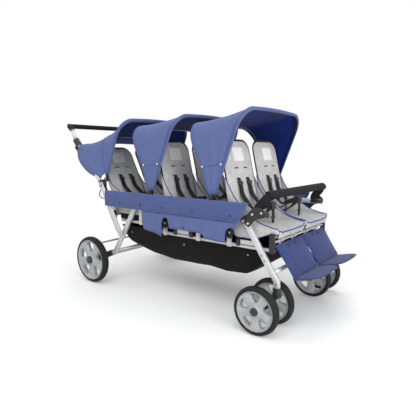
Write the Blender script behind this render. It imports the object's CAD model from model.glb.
"""Looks of the six-seat stroller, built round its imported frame. Metres, +X forward, +Y left, Z up."""
import math

import bmesh
import bpy
import numpy as np
from mathutils import Matrix, Vector, noise


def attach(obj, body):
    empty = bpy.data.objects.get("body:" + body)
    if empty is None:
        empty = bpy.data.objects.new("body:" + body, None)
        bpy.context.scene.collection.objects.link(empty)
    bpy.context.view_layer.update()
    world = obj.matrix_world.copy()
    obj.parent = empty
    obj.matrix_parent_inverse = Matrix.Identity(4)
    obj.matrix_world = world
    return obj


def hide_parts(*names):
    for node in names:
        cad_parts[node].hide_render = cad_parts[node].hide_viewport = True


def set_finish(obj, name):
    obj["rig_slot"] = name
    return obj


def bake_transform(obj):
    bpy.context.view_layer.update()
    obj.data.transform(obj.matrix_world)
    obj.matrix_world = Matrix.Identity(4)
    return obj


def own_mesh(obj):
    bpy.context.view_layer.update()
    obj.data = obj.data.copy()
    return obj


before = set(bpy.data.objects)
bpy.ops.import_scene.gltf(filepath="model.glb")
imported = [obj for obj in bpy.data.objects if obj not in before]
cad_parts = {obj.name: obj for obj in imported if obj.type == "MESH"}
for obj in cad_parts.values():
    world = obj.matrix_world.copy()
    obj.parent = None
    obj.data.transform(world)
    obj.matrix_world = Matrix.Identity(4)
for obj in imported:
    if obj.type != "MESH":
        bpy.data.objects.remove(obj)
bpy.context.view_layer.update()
cos, sin, pi, radians = math.cos, math.sin, math.pi, math.radians
SIDES = (("left", 1), ("right", -1))
ROWS = {1: -0.443, 2: 0.0, 3: 0.443}
LEAN = {1: 27, 2: 13, 3: 13}
SEAT_Z = 0.499
SEAT_Y = 0.153


# Camera and studio

CAMERA_PLACE = (1.5226, -1.8930, 0.8452)
CAMERA_TURN = (81.83, 0, 37.71)
CAMERA_LENS = 33.83
WHITE = (1, 1, 1, 1)
FLOOR_SIZE = 60
LIT_FLOOR = (0.98, 0.98, 0.98, 1)
UNSEEN_FLOOR = (0.80, 0.80, 0.80, 1)
FADE_STRETCH = (0.72, 1.0, 1.0)


def make_camera():
    data = bpy.data.cameras.new("camera")
    data.sensor_width = 36
    data.lens = CAMERA_LENS
    camera = bpy.data.objects.new("camera", data)
    camera.location = CAMERA_PLACE
    camera.rotation_euler = [radians(a) for a in CAMERA_TURN]
    bpy.context.collection.objects.link(camera)
    bpy.context.scene.camera = camera


def add_node(tree, kind, sockets=None, **settings):
    """A new shader node. Sockets sets its inputs, by name or number, to values or other nodes' outputs."""
    node = tree.nodes.new("ShaderNode" + kind)
    for name, value in settings.items():
        setattr(node, name, value)
    for key, value in (sockets or {}).items():
        if isinstance(value, bpy.types.NodeSocket):
            tree.links.new(value, node.inputs[key])
        else:
            node.inputs[key].default_value = value
    return node


def ray_mix(tree, seen, unseen):
    """Mixes two shaders: seen for camera, glossy and transmission rays, unseen for the rest."""
    rays = add_node(tree, "LightPath").outputs
    some = add_node(tree, "Math", {0: rays["Is Camera Ray"], 1: rays["Is Glossy Ray"]}, operation="MAXIMUM")
    every = add_node(tree, "Math", {0: some.outputs[0], 1: rays["Is Transmission Ray"]}, operation="MAXIMUM")
    return add_node(tree, "MixShader", {0: every.outputs[0], 1: unseen, 2: seen}).outputs[0]


def floor_shader(tree):
    """A pale floor that keeps its shadow near the stroller and turns into the white world farther out."""
    lit = add_node(tree, "BsdfDiffuse", {0: LIT_FLOOR})
    glow = add_node(tree, "Emission", {1: FLOOR_GLOW})
    near = add_node(tree, "AddShader", {0: lit.outputs[0], 1: glow.outputs[0]})
    place = add_node(tree, "TexCoord").outputs["Object"]
    scaled = add_node(tree, "Mapping", {0: place, "Scale": FADE_STRETCH})
    length = add_node(tree, "VectorMath", {0: scaled.outputs[0]}, operation="LENGTH").outputs["Value"]
    fade = add_node(tree, "MapRange", {0: length, "From Min": FADE[0], "From Max": FADE[1]},
                    interpolation_type="SMOOTHSTEP")
    white = add_node(tree, "Emission")
    mix = add_node(tree, "MixShader", {0: fade.outputs[0], 1: near.outputs[0], 2: white.outputs[0]})
    return mix.outputs[0]


def cleared(owner):
    """The empty node tree of a new world or material."""
    owner.use_nodes = True
    owner.node_tree.nodes.clear()
    return owner.node_tree


def make_studio():
    world = bpy.data.worlds.new("studio")
    bpy.context.scene.world = world
    tree = cleared(world)
    white = add_node(tree, "Background", {0: WHITE})
    soft = add_node(tree, "Background", {0: WHITE, 1: WORLD_LIGHT})
    add_node(tree, "OutputWorld", {0: ray_mix(tree, white.outputs[0], soft.outputs[0])})

    bpy.ops.mesh.primitive_plane_add(size=FLOOR_SIZE)
    floor = bpy.context.object
    floor.name = "floor"
    mat = bpy.data.materials.new("floor")
    tree = cleared(mat)
    unseen = add_node(tree, "BsdfDiffuse", {0: UNSEEN_FLOOR})
    add_node(tree, "OutputMaterial", {0: ray_mix(tree, floor_shader(tree), unseen.outputs[0])})
    floor.data.materials.append(mat)

    for name, place, aim, size, power in LAMPS:
        data = bpy.data.lights.new(name, "AREA")
        data.size = size
        data.energy = power
        lamp = bpy.data.objects.new(name, data)
        lamp.location = place
        lamp.rotation_euler = (Vector(aim) - Vector(place)).to_track_quat("-Z", "Y").to_euler()
        bpy.context.collection.objects.link(lamp)
    bpy.context.scene.view_settings.view_transform = "Standard"


WORLD_LIGHT = 0.56
FLOOR_GLOW = 0.10
FADE = (1.0, 1.55)
LAMPS = (
    ("key", (1.4, -3.0, 3.6), (0, 0, 0.5), 3.0, 74),
    ("fill", (-3.2, -2.2, 2.4), (0, 0, 0.5), 3.0, 20),
    ("top", (-0.4, 1.6, 4.0), (0, 0, 0.5), 3.4, 48),
    ("front", (3.3, -1.2, 1.1), (0.2, 0, 0.65), 1.6, 46),
)


# Materials

def colour(r, g, b):
    """A linear colour from the 0 to 255 values that it is seen as."""
    return tuple(((c / 255 + 0.055) / 1.055) ** 2.4 if c > 10 else c / 255 / 12.92 for c in (r, g, b)) + (1,)


SHEEN_ROUGHNESS = 0.45
BUMP_STRENGTH = 0.8


class Shader:
    """A principled material and short ways to add nodes to it."""

    def __init__(self, name, base, rough, metal=0.0, sheen=0.0, gloss=0.5):
        self.material = bpy.data.materials.new(name)
        self.tree = cleared(self.material)
        self.base = base
        self.bsdf = self.node("BsdfPrincipled", {
            "Base Color": base, "Roughness": rough, "Metallic": metal, "Sheen Weight": sheen,
            "Sheen Roughness": SHEEN_ROUGHNESS, "Specular IOR Level": gloss})
        self.node("OutputMaterial", {0: self.bsdf.outputs[0]})
        self.place = self.node("TexCoord").outputs["Object"]
        self.height = None

    def node(self, kind, sockets=None, **settings):
        return add_node(self.tree, kind, sockets, **settings)

    def drive(self, socket, value):
        self.tree.links.new(value, self.bsdf.inputs[socket])

    def noise(self, scale, detail=3.0, stretch=(1, 1, 1)):
        mapping = self.node("Mapping", {0: self.place, "Scale": stretch})
        made = self.node("TexNoise", {"Scale": scale, "Detail": detail, "Vector": mapping.outputs[0]})
        return made.outputs[0]

    def wave(self, axis, period):
        """Bands a period apart: Blender's own are 2 pi / 20 apart at a scale of 1."""
        scale = 2 * pi / (20 * period)
        made = self.node("TexWave", {"Scale": scale, "Vector": self.place}, bands_direction=axis)
        return made.outputs["Fac"]

    def maths(self, kind, a, b):
        return self.node("Math", {0: a, 1: b}, operation=kind).outputs[0]

    def blend(self, a, share, b):
        """A texture and the rest of another, by the first one's share."""
        return self.maths("ADD", self.maths("MULTIPLY", a, share), self.maths("MULTIPLY", b, 1 - share))

    def weave(self, period):
        """Crossing threads that show on a surface facing any way."""
        x, y, z = (self.wave(axis, period) for axis in "XYZ")
        return self.maths("MULTIPLY", self.maths("ADD", self.maths("ADD", x, y), z), 1 / 3)

    def tint(self, factor, dark, light, low=0.35, high=0.65):
        """Varies the base colour between two brightnesses by a texture."""
        ramp = self.node("ValToRGB", {0: factor})
        for stop, place, level in zip(ramp.color_ramp.elements, (low, high), (dark, light)):
            stop.position = place
            stop.color = tuple(min(1, c * level) for c in self.base[:3]) + (1,)
        self.drive("Base Color", ramp.outputs[0])

    def rough(self, factor, low, high):
        self.drive("Roughness", self.node("MapRange", {0: factor, "To Min": low, "To Max": high}).outputs[0])

    def bump(self, factor, depth):
        sockets = {"Distance": depth, "Strength": BUMP_STRENGTH, "Height": factor}
        if self.height:
            sockets["Normal"] = self.height
        self.height = self.node("Bump", sockets).outputs[0]
        self.drive("Normal", self.height)


def cloth(name, base, period, mottle, sheen=0.25, crease=0.0012):
    s = Shader(name, base, 0.86, sheen=sheen, gloss=0.2)
    threads = s.weave(period)
    s.tint(s.blend(s.noise(34, 5), 0.6, s.noise(420, 2)), 1 - mottle, 1 + mottle)
    s.rough(s.noise(90), 0.78, 0.93)
    s.bump(s.noise(17, 4, (1, 1, 0.6)), crease)
    s.bump(threads, period * 0.22)
    return s.material


def heather(name, base):
    s = Shader(name, base, 0.9, sheen=0.15, gloss=0.2)
    s.tint(s.blend(s.noise(900, 2, (1, 1, 0.35)), 0.65, s.noise(40, 4)), 0.80, 1.14, 0.38, 0.62)
    s.rough(s.noise(120), 0.82, 0.96)
    s.bump(s.noise(24, 4), 0.0010)
    s.bump(s.weave(0.0011), 0.00022)
    return s.material


def webbing(name, base):
    s = Shader(name, base, 0.7, sheen=0.08, gloss=0.25)
    s.tint(s.noise(300), 0.8, 1.3)
    s.bump(s.wave("DIAGONAL", 0.0022), 0.0004)
    s.bump(s.weave(0.0009), 0.00018)
    return s.material


def plastic(name, base, low, high, grain=900, depth=0.00008):
    s = Shader(name, base, 0.5)
    s.tint(s.noise(28, 5), 0.9, 1.12)
    s.rough(s.noise(60, 5), low, high)
    s.bump(s.noise(grain, 2), depth)
    return s.material


def metal(name, base, low, high, shine):
    s = Shader(name, base, 0.4, metal=shine)
    s.tint(s.noise(11, 6), 0.95, 1.04)
    s.rough(s.noise(180, 4, (0.2, 0.2, 0.2)), low, high)
    s.bump(s.noise(1400, 2, (0.15, 1, 0.15)), 0.00003)
    return s.material


def foam(name, base):
    s = Shader(name, base, 0.85, gloss=0.22)
    s.tint(s.noise(160, 4), 0.82, 1.2)
    s.rough(s.noise(60), 0.66, 0.9)
    s.bump(s.noise(1100, 3), 0.0004)
    return s.material


def rubber(name, base):
    s = Shader(name, base, 0.7, gloss=0.3)
    s.tint(s.noise(30, 6), 0.85, 1.35)
    s.rough(s.noise(70, 5), 0.55, 0.85)
    s.bump(s.noise(700, 3), 0.00015)
    return s.material


MAT = {
    "blue": cloth("blue_cloth", colour(93, 107, 155), 0.0010, 0.05, 0.12, 0.0026),
    "pad": cloth("blue_padding", colour(76, 90, 140), 0.0011, 0.06, crease=0.0022),
    "foot": cloth("footrest_blue", colour(50, 64, 116), 0.0011, 0.06, crease=0.0016),
    "navy": cloth("canopy_lining", colour(22, 42, 112), 0.0010, 0.08, 0.04),
    "hem": cloth("hem_blue", colour(78, 93, 146), 0.0009, 0.05, 0.2, 0.0004),
    "thread": cloth("thread", colour(66, 80, 134), 0.0005, 0.04, 0.1, 0.0001),
    "piping": cloth("piping", colour(48, 62, 148), 0.0007, 0.05, 0.2, 0.0003),
    "grey": heather("grey_padding", colour(202, 202, 201)),
    "lining": cloth("seat_lining", colour(30, 30, 33), 0.0012, 0.1, 0.1),
    "patch": cloth("blank_patch", colour(244, 243, 242), 0.0006, 0.02, 0.1, 0.0004),
    "strap": webbing("black_webbing", colour(24, 24, 27)),
    "basket": cloth("black_cloth", colour(15, 15, 16), 0.0009, 0.12, 0.05, 0.0020),
    "black": plastic("black_plastic", colour(28, 28, 30), 0.36, 0.6),
    "red": plastic("red_plastic", colour(205, 42, 40), 0.3, 0.45),
    "cap": plastic("cap_plastic", colour(38, 38, 40), 0.35, 0.55),
    "wheel": plastic("wheel_grey", colour(170, 171, 172), 0.34, 0.52, 700, 0.00006),
    "silver": metal("silver_frame", colour(203, 203, 204), 0.30, 0.46, 0.35),
    "steel": metal("steel", colour(205, 206, 208), 0.18, 0.32, 0.95),
    "dull": metal("grey_steel", colour(150, 152, 155), 0.32, 0.5, 0.7),
    "foam": foam("black_foam", colour(23, 23, 24)),
    "tyre": rubber("tyre", colour(24, 24, 25)),
}
SLOT = {
    "blue": "blue_cloth", "pad": "blue_padding", "foot": "blue_padding", "navy": "blue_cloth",
    "hem": "blue_cloth", "thread": "blue_cloth", "piping": "blue_cloth", "grey": "grey_padding",
    "lining": "black_cloth", "patch": "grey_padding", "strap": "black_webbing", "basket": "black_cloth",
    "black": "black_plastic", "red": "red_plastic", "cap": "black_plastic", "wheel": "wheel_grey",
    "silver": "silver_frame", "steel": "steel_screws", "dull": "grey_steel", "foam": "black_foam",
    "tyre": "tyre",
}


# Mesh tools

def make(name, verts, faces, *mats, smooth=True):
    """A mesh object in the frame's own place. Its first material gives its slot."""
    data = bpy.data.meshes.new(name)
    data.from_pydata([tuple(v) for v in verts], [], [tuple(f) for f in faces])
    data.update()
    obj = bpy.data.objects.new(name, data)
    bpy.context.collection.objects.link(obj)
    for m in mats:
        data.materials.append(MAT[m])
    for p in data.polygons:
        p.use_smooth = smooth
    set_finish(obj, SLOT[mats[0]])
    return obj


def reworked(obj, work):
    """Writes an object's mesh back after work has changed it as a bmesh."""
    bm = bmesh.new()
    bm.from_mesh(obj.data)
    work(bm)
    bm.to_mesh(obj.data)
    bm.free()
    return obj


def outward(obj, weld=1e-5):
    """Welds what touches and points every face outward."""
    def work(bm):
        bmesh.ops.remove_doubles(bm, verts=bm.verts, dist=weld)
        bmesh.ops.recalc_face_normals(bm, faces=bm.faces)
    return reworked(obj, work)


def closed_up(obj):
    """Fills the open ends of a padded shape."""
    def work(bm):
        bmesh.ops.holes_fill(bm, edges=[e for e in bm.edges if e.is_boundary], sides=0)
        bmesh.ops.recalc_face_normals(bm, faces=bm.faces)
    return reworked(obj, work)


def modified(obj, kind, **settings):
    """Adds one modifier and bakes it into the mesh."""
    m = obj.modifiers.new(kind, kind)
    for name, value in settings.items():
        setattr(m, name, value)
    bpy.context.view_layer.update()
    done = obj.evaluated_get(bpy.context.evaluated_depsgraph_get())
    data = bpy.data.meshes.new_from_object(done)
    obj.modifiers.clear()
    obj.data = data
    return obj


def refine(obj):
    return modified(obj, "SUBSURF", levels=1, render_levels=1)


def thicken(obj, thick, offset=-1.0, inner=0):
    return modified(obj, "SOLIDIFY", thickness=thick, offset=offset, material_offset=inner)


def round_edges(obj, width, segments, angle):
    return modified(obj, "BEVEL", width=width, segments=segments, limit_method="ANGLE",
                    angle_limit=radians(angle))


def joined(name, objs):
    """One mesh from several, keeping their materials."""
    bm = bmesh.new()
    mats = []
    for o in objs:
        for m in o.data.materials:
            if m not in mats:
                mats.append(m)
    for o in objs:
        copy = o.data.copy()
        copy.transform(o.matrix_world)
        index = [mats.index(m) for m in o.data.materials]
        for p in copy.polygons:
            p.material_index = index[p.material_index] if index else 0
        bm.from_mesh(copy)
        bpy.data.meshes.remove(copy)
    data = bpy.data.meshes.new(name)
    bm.to_mesh(data)
    bm.free()
    for m in mats:
        data.materials.append(m)
    made = bpy.data.objects.new(name, data)
    bpy.context.collection.objects.link(made)
    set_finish(made, objs[0]["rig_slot"])
    for o in objs:
        bpy.data.objects.remove(o)
    return made


def grid(name, rows, *mats, wrap=False):
    """A sheet through rows of points. Wrap closes each row on itself."""
    rows = np.array(rows, float)
    m, n = rows.shape[:2]
    faces = []
    for i in range(m - 1):
        for j in range(n if wrap else n - 1):
            k = (j + 1) % n
            faces.append((i * n + j, i * n + k, (i + 1) * n + k, (i + 1) * n + j))
    return make(name, rows.reshape(-1, 3), faces, *mats)


def curve(points, count, closed=False):
    """Points spaced evenly along a smooth curve through the given points."""
    p = np.array(points, float)
    n = len(p)
    ids = range(n) if closed else range(n - 1)
    fine = []
    for i in ids:
        a, b, c, d = ((p[(i + k) % n] if closed else p[min(max(i + k, 0), n - 1)]) for k in (-1, 0, 1, 2))
        for t in np.linspace(0, 1, 12, endpoint=False):
            fine.append(0.5 * (2 * b + (c - a) * t + (2 * a - 5 * b + 4 * c - d) * t * t
                               + (3 * b - a - 3 * c + d) * t ** 3))
    fine.append(p[0] if closed else p[-1])
    return spaced(fine, count)


def spaced(points, count):
    p = np.array(points, float)
    steps = np.linalg.norm(np.diff(p, axis=0), axis=1)
    along = np.concatenate([[0], np.cumsum(steps)])
    at = np.linspace(0, along[-1], count)
    return np.stack([np.interp(at, along, p[:, k]) for k in range(3)], axis=1)


def sweep(name, points, profile, *mats, up=(0, 1, 0), closed=False, scale=None):
    """A profile of (side, up) points carried along a path. Up fixes how it is turned."""
    p = np.array(points, float)
    n = len(p)
    rings = []
    for i in range(n):
        a = p[(i - 1) % n] if closed or i > 0 else p[i]
        b = p[(i + 1) % n] if closed or i < n - 1 else p[i]
        d = (b - a) / max(np.linalg.norm(b - a), 1e-9)
        u = np.array(up[i] if isinstance(up, list) else up, float)
        u = u - d * (u @ d)
        u /= max(np.linalg.norm(u), 1e-9)
        v = np.cross(d, u)
        k = scale[i] if scale is not None else 1.0
        rings.append([p[i] + k * (q[0] * v + q[1] * u) for q in profile])
    m = len(profile)
    verts = [v for ring in rings for v in ring]
    faces = []
    for i in range(n if closed else n - 1):
        j = (i + 1) % n
        for k in range(m):
            l = (k + 1) % m
            faces.append((i * m + k, i * m + l, j * m + l, j * m + k))
    if not closed:
        faces.append(tuple(range(m - 1, -1, -1)))
        faces.append(tuple(range((n - 1) * m, n * m)))
    return outward(make(name, verts, faces, *mats), 1e-7)


def round_profile(r, sides):
    return [(r * cos(2 * pi * k / sides), r * sin(2 * pi * k / sides)) for k in range(sides)]


def flat_profile(w, t):
    """A strap's section: w wide, t thick, with soft edges."""
    e = min(t * 0.45, w * 0.2)
    return [(-w / 2, -t / 2 + e), (-w / 2 + e, -t / 2), (w / 2 - e, -t / 2), (w / 2, -t / 2 + e),
            (w / 2, t / 2 - e), (w / 2 - e, t / 2), (-w / 2 + e, t / 2), (-w / 2, t / 2 - e)]


WIDE_STITCH = {"pitch": 0.006, "length": 0.0042, "r": 0.0005}


def stitches(points, pitch=0.0045, length=0.0030, r=0.00045, mat="thread", up=(0, 0, 1)):
    """A row of thread stitches along a path."""
    p = np.array(points, float)
    count = max(int(path_length(p) / pitch), 2)
    q = spaced(p, count * 2 + 1)
    verts, faces = [], []
    up = np.array(up, float)
    for i in range(count):
        a, b = q[2 * i], q[2 * i + 1]
        d = (b - a) / max(np.linalg.norm(b - a), 1e-9)
        side = np.cross(d, up)
        side /= max(np.linalg.norm(side), 1e-9)
        top = np.cross(side, d)
        mid = (a + b) / 2
        o = len(verts)
        verts += [a, mid + side * r, mid + top * r * 1.2, mid - side * r, mid - top * r * 1.2, a + d * length]
        faces += [(o, o + 1 + k, o + 1 + (k + 1) % 4) for k in range(4)]
        faces += [(o + 5, o + 1 + (k + 1) % 4, o + 1 + k) for k in range(4)]
    return make("stitches", verts, faces, mat)


def revolve(name, profile, centre, mat, segments=72, flip=1):
    """Turns (radius, sideways) points round an axis across the stroller."""
    x, y, z = centre
    rows = []
    for i in range(segments):
        a = 2 * pi * i / segments
        rows.append([(x + r * sin(a), y + flip * w, z + r * cos(a)) for r, w in profile])
    rows.append(rows[0])
    return outward(grid(name, rows, mat))


def dome(name, place, normal, r, high, mat, ring=True):
    """A small snap or rivet head standing on a surface."""
    shape = [(0.0, high), (0.35 * r, high * 0.96), (0.7 * r, high * 0.72), (0.9 * r, high * 0.35), (r, 0.0),
             (r, -0.0006)]
    if ring:
        shape = [(0.0, high * 0.6), (0.25 * r, high * 0.6), (0.45 * r, high * 0.95), (0.7 * r, high),
                 (0.92 * r, high * 0.6), (r, 0.0), (r, -0.0006)]
    q = Vector(normal).to_track_quat("Z", "X").to_matrix()
    rows = []
    for i in range(17):
        a = 2 * pi * i / 16
        rows.append([Vector(place) + q @ Vector((s * cos(a), s * sin(a), h)) for s, h in shape])
    return outward(grid(name, rows, mat))


def block(name, centre, size, mat, edge, turn=None):
    """A moulded block with rounded edges."""
    x, y, z = (s / 2 for s in size)
    verts = [Vector((sx * x, sy * y, sz * z)) for sx in (-1, 1) for sy in (-1, 1) for sz in (-1, 1)]
    if turn is not None:
        verts = [turn @ v for v in verts]
    verts = [v + Vector(centre) for v in verts]
    faces = [(0, 1, 3, 2), (4, 6, 7, 5), (0, 4, 5, 1), (2, 3, 7, 6), (0, 2, 6, 4), (1, 5, 7, 3)]
    return round_edges(outward(make(name, verts, faces, mat)), edge, 3, 30)


def mirrored(obj, name):
    """A copy on the other side of the stroller."""
    data = obj.data.copy()
    data.transform(Matrix.Scale(-1, 4, (0, 1, 0)))
    data.flip_normals()
    made = bpy.data.objects.new(name, data)
    bpy.context.collection.objects.link(made)
    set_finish(made, obj["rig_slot"])
    return made


def on_both_sides(*objs):
    """Fixes left pieces and their copies on the right to the seat frame. Gives the copies."""
    others = [mirrored(o, o.name.replace("left", "right")) for o in objs]
    for o in (*objs, *others):
        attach(o, "chassis")
    return others


def normals_of(rows):
    """Unit normals of a grid of points."""
    du = np.gradient(rows, axis=0)
    dv = np.gradient(rows, axis=1)
    n = np.cross(du, dv)
    return n / np.maximum(np.linalg.norm(n, axis=2, keepdims=True), 1e-9)


def rough_noise(p, scale, seed=0.0):
    return noise.noise(Vector((p[0] * scale + seed, p[1] * scale, p[2] * scale)))


LEAST_FILL = 0.31
STRIP_FILL = 0.8


def is_sheet(obj, width, length):
    """Declares a sheet by a flat size and its own built area."""
    area = min(sum(p.area for p in obj.data.polygons) / 2, width * length)
    if area < LEAST_FILL * width * length:
        length = area / width / STRIP_FILL


def path_length(points):
    return float(np.linalg.norm(np.diff(np.array(points, float), axis=0), axis=1).sum())


# Padded shapes, puffed up by a short cloth simulation

SIM_FRAMES = 20
puffed = []


VOXEL = 0.0055
PRESSURE = 6.0
CLOTH = {"quality": 4, "mass": 0.25, "use_pressure": True, "uniform_pressure_force": PRESSURE,
         "tension_stiffness": 25, "bending_stiffness": 0.8, "vertex_group_mass": "pins"}


def to_puff(obj, cap, still):
    """Queues a padded shape. Cap is how far a point may move; still says which points keep their place."""
    puffed.append((obj, cap, still))


def puff_all():
    scene = bpy.context.scene
    running = []
    for obj, cap, still in puffed:
        modified(obj, "REMESH", mode="VOXEL", voxel_size=VOXEL, use_smooth_shade=True)
        start = np.array([v.co for v in obj.data.vertices], float)
        pins = obj.vertex_groups.new(name="pins")
        pins.add([i for i, v in enumerate(start) if still(v)], 1.0, "REPLACE")
        m = obj.modifiers.new("cloth", "CLOTH")
        for name, value in CLOTH.items():
            setattr(m.settings, name, value)
        m.settings.effector_weights.gravity = 0
        m.point_cache.frame_start = 1
        m.point_cache.frame_end = SIM_FRAMES
        running.append((obj, start, cap))
    for f in range(1, SIM_FRAMES + 1):
        scene.frame_set(f)
    graph = bpy.context.evaluated_depsgraph_get()
    for obj, start, cap in running:
        move = np.array([v.co for v in obj.evaluated_get(graph).data.vertices], float) - start
        size = np.linalg.norm(move, axis=1, keepdims=True)
        move *= np.minimum(1, cap / np.maximum(size, 1e-9))
        obj.modifiers.clear()
        obj.vertex_groups.clear()
        for v, p in zip(obj.data.vertices, start + move):
            v.co = p
        obj.data.update()
    scene.frame_set(1)


def with_normals(obj):
    """Each vertex with its normal as it is before any of them moves."""
    return list(zip(obj.data.vertices, [v.normal.copy() for v in obj.data.vertices]))


def groove(obj, distance, depth, width, facing):
    """Presses a sewn channel into the faces that look along facing."""
    facing = Vector(facing)
    for v, normal in with_normals(obj):
        if normal.dot(facing) > 0.2:
            d = distance(v.co)
            if d < 3 * width:
                v.co -= normal * depth * math.exp(-(d / width) ** 2)
    obj.data.update()


def rounded_half(y, w, length, corner):
    """Half the width of a panel with rounded upper corners, at a distance from its lower edge."""
    top = y - (length - corner)
    return w / 2 if top <= 0 else w / 2 - corner + math.sqrt(max(corner ** 2 - top ** 2, 0))


def cushion(name, w, length, thick, edge, corner, mats, nx, ny):
    """A padded panel: across is x, along is y from 0, and it swells along z."""
    def point(i, j, face):
        s, t = (sin(pi / 2 * (2 * k / n - 1)) for k, n in ((i, nx), (j, ny)))
        y = (t + 1) / 2 * length
        swell = edge / 2 + (thick - edge) / 2 * (1 - abs(s) ** 4) * (1 - abs(t) ** 4)
        return s * rounded_half(y, w, length, corner), y, face * swell

    m, n = nx + 1, ny + 1
    verts = [point(i, j, face) for face in (1, -1) for i in range(m) for j in range(n)]
    o = m * n
    faces = []
    for k in (i * n + j for i in range(nx) for j in range(ny)):
        faces.append((k, k + n, k + n + 1, k + 1))
        faces.append((o + k, o + k + 1, o + k + n + 1, o + k + n))
    edge_loop = [j for j in range(n)] + [i * n + ny for i in range(1, m)]
    edge_loop += [nx * n + j for j in range(ny - 1, -1, -1)] + [i * n for i in range(nx - 1, 0, -1)]
    for a, b in zip(edge_loop, edge_loop[1:] + edge_loop[:1]):
        faces.append((a, b, o + b, o + a))
    return outward(make(name, verts, faces, *mats), 1e-6)


def recoat(obj, *mats):
    """Gives a puffed shape its materials and smooth faces again."""
    obj.data.materials.clear()
    for m in mats:
        obj.data.materials.append(MAT[m])
    for p in obj.data.polygons:
        p.use_smooth = True
    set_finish(obj, SLOT[mats[0]])


# Finishes of the frame's own nodes

NODE_FINISH = {
    "silver": ("upper_rails", "lower_rails", "rail_plates", "cross_tubes", "handle_tubes", "rear_axle",
               "footrest_frame"),
    "black": ("leg_brackets", "fold_joint_bases", "canopy_brackets", "canopy_rear_bows", "seat_hinges",
              "canopy_bow_1", "canopy_bow_2", "canopy_bow_3", "handle_hubs", "release_housings",
              "release_lever_left", "release_lever_right", "rear_leg_brackets", "caster_sockets",
              "caster_fork_left", "caster_fork_right"),
    "steel": ("frame_screws",),
    "dull": ("brake_bar",),
    "red": ("release_button_left", "release_button_right"),
}


def finish_nodes():
    for finish, nodes in NODE_FINISH.items():
        for n in nodes:
            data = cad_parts[n].data
            if not data.materials:
                data.materials.append(MAT[finish])
            for i in range(len(data.materials)):
                data.materials[i] = MAT[finish]


# Canopies

CLOTH_THICK = 0.0016
CLOTH_ROWS = 30
CANOPY_Y = 0.324
CANOPY_AT = {1: (-0.511, 0.670), 2: (-0.103, 0.610), 3: (0.340, 0.610)}
FRONT_LEN = {1: 0.4065, 2: 0.4785, 3: 0.4835}
REAR_LEN = {1: 0.290, 2: 0.428, 3: 0.428}
FRONT_LEAN = {1: 22, 2: 23.5, 3: 21}
REAR_LEAN = {1: 8, 2: 24, 3: 24}
BOW_CORNER = 0.110
BOW_DIP = {1: 0.013, 2: 0.009, 3: 0.009}
BAND = {2: ((-0.160, 0.769), (-0.049, 0.779)), 3: ((0.272, 0.769), (0.391, 0.786))}


CANOPY_START = {1: 0.032, 2: 0.020, 3: 0.020}
SIDE_POINTS = 14
TOP_CROWN = 0.006
REAR_EDGE = ((0.02, 0.06, 0.16, 0.26, 0.36), (-0.017, -0.014, 0.0, -0.013, 0.0))
FRONT_EDGE = ((0.02, 0.06, 0.18, 0.34, 0.42), (0.014, 0.008, -0.005, -0.005, 0.0))
SEAM_OFFSETS = (0.009, 0.0125)


def arch_row(half, high, corner, start, lean, at):
    """One line of cloth up the far side, over the top and down the near side, on a leaned plane."""
    leg = high - corner
    side = [(half, start + (leg - start) * i / SIDE_POINTS) for i in range(SIDE_POINTS)]
    side += [(half - corner + corner * cos(a), leg + corner * sin(a)) for a in np.linspace(0, pi / 2, 13)]
    side += [((half - corner) * (1 - i / 10), high + TOP_CROWN * sin(pi / 2 * i / 10)) for i in range(1, 11)]
    whole = side + [(-y, h) for y, h in side[-2::-1]]
    lean = radians(lean)
    return np.array([(at[0] + h * sin(lean), y, at[1] + h * cos(lean)) for y, h in whole])


def canopy_cloth(rear, front, sag, seed):
    """Cloth between two edge lines, sagging between them, with soft folds near its lower tips."""
    n = len(rear)
    up = np.linspace(0, 1, n)
    rise = 4 * up * (1 - up)
    rows = []
    for v in (k / CLOTH_ROWS for k in range(CLOTH_ROWS + 1)):
        row = rear * (1 - v) + front * v
        row[:, 2] -= sag * sin(pi * v) * rise
        rows.append(row)
    rows = np.array(rows)
    turn = normals_of(rows)
    if turn[CLOTH_ROWS // 2, n // 2, 2] < 0:
        turn = -turn
    for k in range(CLOTH_ROWS + 1):
        v = k / CLOTH_ROWS
        soft = sin(pi * v) ** 0.7
        for i in range(n):
            low = min(up[i], 1 - up[i]) * 2
            fold = 0.0022 * sin(5 * pi * v + 4 * low + seed) * (1 - low) ** 2
            fold += 0.0030 * rough_noise(rows[k, i], 7, seed) * rise[i]
            fold += 0.0012 * rough_noise(rows[k, i], 26, seed + 5)
            rows[k, i] += turn[k, i] * fold * soft
    return rows, turn


def shaped(row, at, heights, moves):
    """Moves an edge line forward or back by its height over the pivot."""
    made = row.copy()
    made[:, 0] += np.interp(row[:, 2] - at[1], heights, moves)
    return made


SLEEVE_START = 0.052
SLEEVE_HALF = 0.0083


def sleeve(name, n, length, lean, bar_y, body):
    """The sewn sleeve that holds one bow along a canopy's edge, in the lining's colour on its inner face."""
    at = CANOPY_AT[n]
    low = length - BOW_DIP[n] - 0.0047
    outer = arch_row(bar_y + 0.0002, length + 0.0012, BOW_CORNER, SLEEVE_START, lean, at)
    inner = arch_row(bar_y - 0.00465, low, BOW_CORNER - 0.006, SLEEVE_START, lean, at)
    half = np.array((cos(radians(lean)), 0, -sin(radians(lean)))) * SLEEVE_HALF
    rows = [[a + half, a - half, b - half, b + half] for a, b in zip(outer, inner)]
    made = outward(grid(name, rows, "blue", "navy", wrap=True))
    heart = Vector((at[0], 0, at[1] + length * 0.45))
    for p in made.data.polygons:
        p.material_index = int(p.normal.dot((heart - p.center).normalized()) > 0.35)
    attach(made, body)


def face_along(obj, axis):
    """Turns a sheet so that its first side faces along an axis."""
    if sum(p.normal[axis] * p.area for p in obj.data.polygons) < 0:
        obj.data.flip_normals()


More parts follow.
